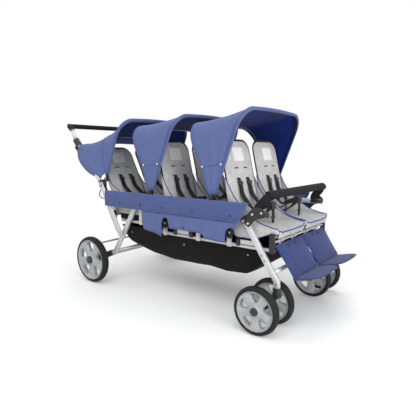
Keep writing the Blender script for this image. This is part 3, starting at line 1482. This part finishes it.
def wheel_face(name, centre, hub_r, rim_r, plane, depth, out):
    """One side of a moulded wheel: rounded windows between broad spokes. Each loop of points runs round one
    sector, and the loops close in from the sector's edge to its window and then go down through it."""
    sector = 2 * pi / SPOKES
    r_mid, r_half = (hub_r + rim_r) / 2 + 0.002, (rim_r - hub_r) / 2
    win_r = r_half - (rim_r - hub_r) * 0.13
    loops = 48
    verts, faces = [], []
    for turn in (s * sector for s in range(SPOKES)):
        o = len(verts)
        for share, drop in SPOKE_SHELLS + ((1.0, -depth),):
            for k in range(loops):
                c, d = cos(2 * pi * k / loops), sin(2 * pi * k / loops)
                big = max(abs(c), abs(d))
                edge_r, edge_a = r_mid - 0.002 + d / big * r_half, turn + c / big * sector / 2
                window_r = r_mid + math.copysign(abs(d) ** 0.62, d) * win_r
                wide = 0.17 + 0.235 * (window_r - hub_r) / (rim_r - hub_r)
                window_a = turn + math.copysign(abs(c) ** 0.62, c) * wide
                r = edge_r * (1 - share) + window_r * share
                a = edge_a * (1 - share) + window_a * share
                up = (r - hub_r) / (rim_r - hub_r)
                dish = -0.0035 * (1 - up) + 0.0030 * up ** 6
                y = plane + drop + (dish if drop > -0.007 else 0)
                verts.append((centre[0] + r * sin(a), centre[1] + out * y, centre[2] + r * cos(a)))
        for i in range(len(SPOKE_SHELLS)):
            for k in range(loops):
                p, q = o + i * loops + k, o + i * loops + (k + 1) % loops
                faces.append((p, q, q + loops, p + loops))
    made = make(name, verts, faces, "wheel")
    return reworked(made, lambda bm: bmesh.ops.remove_doubles(bm, verts=bm.verts, dist=2e-5))


def make_wheel(name, centre, r, w, out, body, reach):
    """Tyre, moulded wheel and hub caps. Reach is how far the cap on the out side stands proud."""
    rim_r = r - TYRE_WALL
    hub_r = r * 0.27
    plane = w / 2 - 0.006
    tyre = revolve(f"{name}_tyre", tyre_profile(r, w), centre, "tyre", 120)
    parts = [wheel_face("face", centre, hub_r, rim_r - 0.006, plane, plane, flip) for flip in (1, -1)]
    bead = [(rim_r - 0.0063, -plane + 0.0006), (rim_r - 0.005, -plane - 0.0022),
            (rim_r - 0.002, -plane - 0.0030), (rim_r - 0.0002, -plane - 0.0016)]
    parts.append(revolve("barrel", bead + [(a, -b) for a, b in bead[::-1]], centre, "wheel", 96))
    top = plane - 0.0036
    boss = [(hub_r + 0.0004, top - 0.004), (hub_r + 0.0002, top), (hub_r - 0.003, top + 0.0014),
            (hub_r * 0.72, top + 0.0030), (hub_r * 0.66, top + 0.0050), (hub_r * 0.60, top + 0.0052)]
    cap_r = hub_r * 0.62
    caps = []
    for flip in (1, -1):
        parts.append(revolve("boss", boss, centre, "wheel", 64, flip))
        face = w / 2 - 0.002 + (reach if flip == out else 0.002)
        rings = ((1, 0.0040), (0.95, 0.0020), (0.86, 0.0014), (0.80, 0.0024), (0.72, 0.0024), (0.66, 0.0008),
                 (0.52, 0.0004), (0.46, 0.0016), (0.36, 0.0016), (0.30, 0.0004), (0.0, 0.0002))
        shape = [(cap_r, plane - 0.004)] + [(cap_r * share, face - low) for share, low in rings]
        caps.append(revolve("cap", shape, centre, "cap", 48, flip))
    wheel = joined(f"{name}_rim", parts)
    for p in wheel.data.polygons:
        p.use_smooth = True
    for o in (tyre, wheel, joined(f"{name}_caps", caps)):
        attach(o, body)
    return tyre, wheel


def make_wheels():
    for word, side in SIDES:
        tyre, rim = make_wheel(f"rear_{word}", (-0.597, side * 0.388, 0.150), 0.150, 0.047, side,
                               f"rear_wheel_{word}", 0.009)
        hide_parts(f"rear_tyre_{word}")
        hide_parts(f"rear_rim_{word}")
        for kind, out in (("out", 1), ("in", -1)):
            y = side * 0.3165 + side * out * 0.0765
            tyre, rim = make_wheel(f"caster_{word}_{kind}", (0.644, y, 0.117), 0.117, 0.045, side * out,
                                   f"caster_wheel_{word}_{kind}", 0.0055)
            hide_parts(f"caster_tyre_{word}_{kind}")
            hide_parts(f"caster_rim_{word}_{kind}")


# Grips, cables and small fittings

def side_bend(top, rise, y, radius):
    """Points round a bend from a grip's side tube into its cross bar."""
    rise = radians(rise)
    return [(top[0] + radius * (1 - sin(a)) * cos(rise), y - radius * (1 - cos(a)),
             top[1] - radius * (1 - sin(a)) * sin(rise)) for a in np.linspace(0, pi / 2, 10)]


def foam_profile(r):
    """A foam tube's section with a shallow seam line below."""
    radii = [r - 0.0007 if k == 24 else r for k in range(32)]
    return [(q * cos(2 * pi * k / 32), q * sin(2 * pi * k / 32)) for k, q in enumerate(radii)]


def across_from(side):
    """A path up the left side and its mirror image down the right side."""
    return side + [(x, -y, z) for x, y, z in side[::-1]]


def make_grips():
    rise = 20
    bend = side_bend((-0.8855, 1.018), rise, 0.340, 0.054)
    foot = np.array((-0.790, 0.340, 0.925))
    knee = np.array(bend[0])
    d = (knee - foot) / np.linalg.norm(knee - foot)
    path = across_from([tuple(knee - d * 0.008)] + bend)
    grip = sweep("grip_foam", curve(path, 150), foam_profile(0.0159), "foam",
                 up=(sin(radians(rise)), 0, cos(radians(rise))))
    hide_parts("handle_grip")
    tubes, collars = [], []
    for s in (1, -1):
        line = [(x, s * y, z) for x, y, z in (foot - d * 0.008, (foot + knee) / 2, knee)]
        tubes.append(sweep("tube", line, round_profile(0.0125, 32), "silver"))
        line = [(x, s * y, z) for x, y, z in (knee - d * 0.012, knee - d * 0.008, knee - d * 0.004)]
        collars.append(sweep("collar", line, round_profile(0.0164, 32), "black"))
    for o in (grip, joined("grip_tubes", tubes), joined("grip_collars", collars)):
        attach(o, "handle")

    rise = 128
    y = 0.325
    side = [(0.606, y, 0.5713), (0.606, y, 0.5783), (0.609, y, 0.5873), (0.615, y, 0.5963)]
    path = across_from(side + side_bend((0.659, 0.648), rise, y, 0.044))
    oval = [(a, b * 1.32) for a, b in foam_profile(0.0168)]
    bar = sweep("bumper_foam", curve(path, 120), oval, "foam",
                up=(sin(radians(rise)), 0, cos(radians(rise))))
    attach(bar, "chassis")
    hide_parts("bumper_grip")


def plate(name, outline, y0, y1, mat, edge=0.0012):
    """A flat plate across the stroller's side with rounded edges, from points in its side view."""
    n = len(outline)
    verts = [(x, y0, z) for x, z in outline] + [(x, y1, z) for x, z in outline]
    faces = [tuple(range(n)), tuple(range(2 * n - 1, n - 1, -1))]
    faces += [(k, (k + 1) % n, n + (k + 1) % n, n + k) for k in range(n)]
    return round_edges(outward(make(name, verts, faces, mat)), edge, 2, 40)


def rounded(points, r, steps=4):
    """A closed outline with its corners rounded."""
    made = []
    n = len(points)
    for i in range(n):
        p = np.array(points[i], float)
        a = np.array(points[i - 1], float) - p
        b = np.array(points[(i + 1) % n], float) - p
        a /= np.linalg.norm(a)
        b /= np.linalg.norm(b)
        for t in np.linspace(0, 1, steps + 1):
            made.append(tuple(p + a * r * (1 - t) ** 2 + b * r * t ** 2))
    return made


LEG_Y = 0.3165
LEG_ROUTES = (
    ("front_legs", "front_frame", (0.684, 0.285),
     ((0.530, 0.521), (0.5775, 0.446), (0.625, 0.371), (0.6635, 0.3145), (0.702, 0.258), (0.7075, 0.244),
      (0.709, 0.214))),
    ("rear_legs", "rear_frame", (-0.448, 0.214),
     ((-0.247, 0.521), (-0.3035, 0.432), (-0.360, 0.343), (-0.404, 0.2785), (-0.448, 0.214), (-0.505, 0.190),
      (-0.563, 0.166))),
)
LEG_EYE = ((0.0, 0.0132), (0.0150, 0.0132), (0.0165, 0.0120), (0.0165, -0.0120), (0.0150, -0.0132),
           (0.0, -0.0132))


def leg_profile():
    """The flat oval section of the legs: in the side plane, then across."""
    turns = [(cos(2 * pi * k / 28), sin(2 * pi * k / 28)) for k in range(28)]
    return [(math.copysign(abs(c) ** 0.62, c) * 0.0150, math.copysign(abs(d) ** 0.45, d) * 0.0112)
            for c, d in turns]


def make_legs():
    for name, body, cross, route in LEG_ROUTES:
        parts = [sweep("cross", [(cross[0], y, cross[1]) for y in (-0.306, 0, 0.306)],
                       round_profile(0.011, 24), "silver", up=(0, 0, 1))]
        for s in (1, -1):
            path = curve([(x, s * LEG_Y, z) for x, z in route], 60)
            parts.append(sweep("leg", path, leg_profile(), "silver"))
            parts.append(revolve("eye", LEG_EYE, (route[0][0], s * LEG_Y, route[0][1]), "silver", 40))
        legs = joined(name + "_tubes", parts)
        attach(legs, body)
        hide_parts(name)

    links, strips = [], []
    a, b = np.array((-0.531, 0.640)), np.array((-0.360, 0.343))
    d = (b - a) / np.linalg.norm(b - a)
    side = np.array((d[1], -d[0]))
    outline = []
    for end, out, across, half in ((b, d, side, 0.0190), (a, -d, -side, 0.0175)):
        for t in np.linspace(-pi / 2, pi / 2, 13):
            outline.append(tuple(end + half * (out * cos(t) + across * sin(t))))
    edge = [tuple(a + d * t + side * 0.0205) for t in (0.150, 0.205, 0.260, 0.315)]
    for s in (1, -1):
        links.append(plate("link", outline, s * 0.3415, s * 0.3500, "silver", 0.0028))
        line = [(x, s * 0.3440, z) for x, z in edge]
        strips.append(sweep("strip", line, round_profile(0.0042, 12), "black"))
    bars = joined("handle_link_bars", links)
    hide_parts("handle_links")
    for o in (bars, joined("link_cables", strips)):
        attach(o, "handle_links")


def make_under_seats():
    """Dark cloth under the rear row, and the cloth that hangs from the front row's lip."""
    def panel(name, rows, mat, width, length):
        made = thicken(grid(name, rows, mat), 0.0015, 0)
        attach(made, "chassis")
        is_sheet(made, width, length)

    for word, side in SIDES:
        rows = [[(x, side * 0.272 + 0.002 * sin(40 * x), z) for x in np.linspace(-0.440, -0.222, 20)]
                for z in np.linspace(0.472, 0.424, 5)]
        panel(f"under_seat_{word}", rows, "lining", 0.22, 0.05)
        rows = [[(0.7035 - 0.010 * v + 0.0020 * sin(60 * y) * v, side * SEAT_Y + y, 0.4790 - 0.036 * v)
                 for y in np.linspace(-0.1345, 0.1345, 28)] for v in (k / 5 for k in range(6))]
        panel(f"pan_drop_{word}", rows, "grey", 0.27, 0.04)


BUMPER_PLATE = ((0.541, 0.508), (0.566, 0.492), (0.600, 0.531), (0.657, 0.548), (0.655, 0.572),
                (0.628, 0.592), (0.590, 0.588), (0.548, 0.545))
LATCH = ((-0.026, 0.470), (-0.006, 0.482), (0.014, 0.472), (0.016, 0.428), (-0.002, 0.414), (-0.022, 0.428))
CABLE_ROUTE = ((-0.545, 0.3345, 0.610), (-0.556, 0.337, 0.596), (-0.562, 0.338, 0.580),
               (-0.560, 0.338, 0.566), (-0.548, 0.337, 0.556), (-0.530, 0.335, 0.552),
               (-0.512, 0.332, 0.552), (-0.4964, 0.330, 0.552))


def heads(word, s, y, spots, r, high, mat, ring=True):
    """Screw or rivet heads that face sideways at points in the side view."""
    return [dome(word, (x, s * y, z), (0, s, 0), r, high, mat, ring) for x, z in spots]


def bumper_parts(s):
    sleeve_line = [(x, s * 0.322, 0.5564) for x in (0.592, 0.624, 0.6565)]
    sleeve_profile = [(a * 1.02, b * 1.26) for a, b in round_profile(0.0125, 32)]
    return [
        plate("bumper_plate", rounded(BUMPER_PLATE, 0.008), s * 0.3405, s * 0.3450, "black", 0.0015),
        *heads("screw", s, 0.3452, ((0.562, 0.511), (0.585, 0.556), (0.634, 0.566)), 0.0062, 0.0026, "steel"),
        sweep("rail_sleeve", sleeve_line, sleeve_profile, "black"),
        block("rail_bracket", (0.673, s * 0.3060, 0.4215), (0.0275, 0.0135, 0.0965), "black", 0.003)]


def latch_parts(s):
    parts = []
    for x0 in ROWS.values():
        outline = rounded([(x0 + x, z) for x, z in LATCH], 0.010)
        parts.append(plate("latch", outline, s * 0.3113, s * 0.3205, "black", 0.002))
        parts += heads("screw", s, 0.3205, ((x0 - 0.004, 0.449),), 0.0075, 0.0032, "steel")
    return parts


def panel_parts(s):
    parts = []
    for x0 in (0.076, 0.496):
        outline = rounded([(x0, 0.4185), (x0 + 0.084, 0.4185), (x0 + 0.084, 0.3965), (x0, 0.3965)], 0.003)
        parts.append(plate("rail_panel", outline, s * 0.3015, s * 0.3045, "silver", 0.0008))
        for x in (x0 - 0.016, x0 + 0.100):
            parts.append(block("rail_clip", (x, s * 0.2985, 0.402), (0.022, 0.014, 0.036), "black", 0.003))
    return parts


def leg_screw_parts(s):
    holes = ((0.6305, 0.3625), (0.6465, 0.3400))
    parts = heads("hole", s, 0.3298, holes, 0.0032, 0.0006, "lining", ring=False)
    for z in (0.239, 0.222):
        parts += heads("screw", s, 0.3296, ((0.7090, z),), 0.0050, 0.0024, "dull")
        parts.append(dome("screw", (0.7223, s * LEG_Y, z), (1, 0, 0), 0.0050, 0.0022, "dull"))
    return parts


def link_rivet_parts(s):
    return (heads("rivet", s, 0.3540, ((-0.360, 0.343),), 0.0062, 0.0024, "steel")
            + heads("rivet", s, 0.3498, ((-0.352, 0.372),), 0.0062, 0.0024, "steel"))


def fold_bolt_parts(s):
    return (heads("bolt", s, 0.3530, ((-0.531, 0.640),), 0.0100, 0.0030, "steel")
            + heads("bolt", s, 0.3262, ((-0.511, 0.670),), 0.0075, 0.0011, "steel"))


def make_fittings():
    for name, body, parts in (
            ("bumper_plates", "chassis", bumper_parts), ("seat_latches", "chassis", latch_parts),
            ("rail_panels", "chassis", panel_parts), ("front_leg_screws", "front_frame", leg_screw_parts),
            ("link_rivets", "handle_links", link_rivet_parts), ("fold_bolts", "chassis", fold_bolt_parts)):
        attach(joined(name, parts(1) + parts(-1)), body)
    cable = sweep("release_cable_left", curve(CABLE_ROUTE, 60), round_profile(0.0030, 12), "black")
    for o in (cable, *on_both_sides(cable)):
        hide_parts("release_cables")


# Build

make_camera()
make_studio()
finish_nodes()
back = make_back_template()
pad = make_pad_template()
calf, foot = make_foot_templates()
puff_all()
dress_back(back)
make_back_pads()
make_seat_backs(back, back_trim(back))
dress_pad(pad)
make_footrests(calf, foot)
for n in (1, 2, 3):
    make_canopy(n)
make_tail()
make_legs()
make_under_seats()
for row in ROWS:
    for word, side in SIDES:
        make_pan(row, word, side)
        make_wings(row, word, side)
        make_harness(row, word, side)
make_curtains()
make_basket()
make_wheels()
make_grips()
make_fittings()
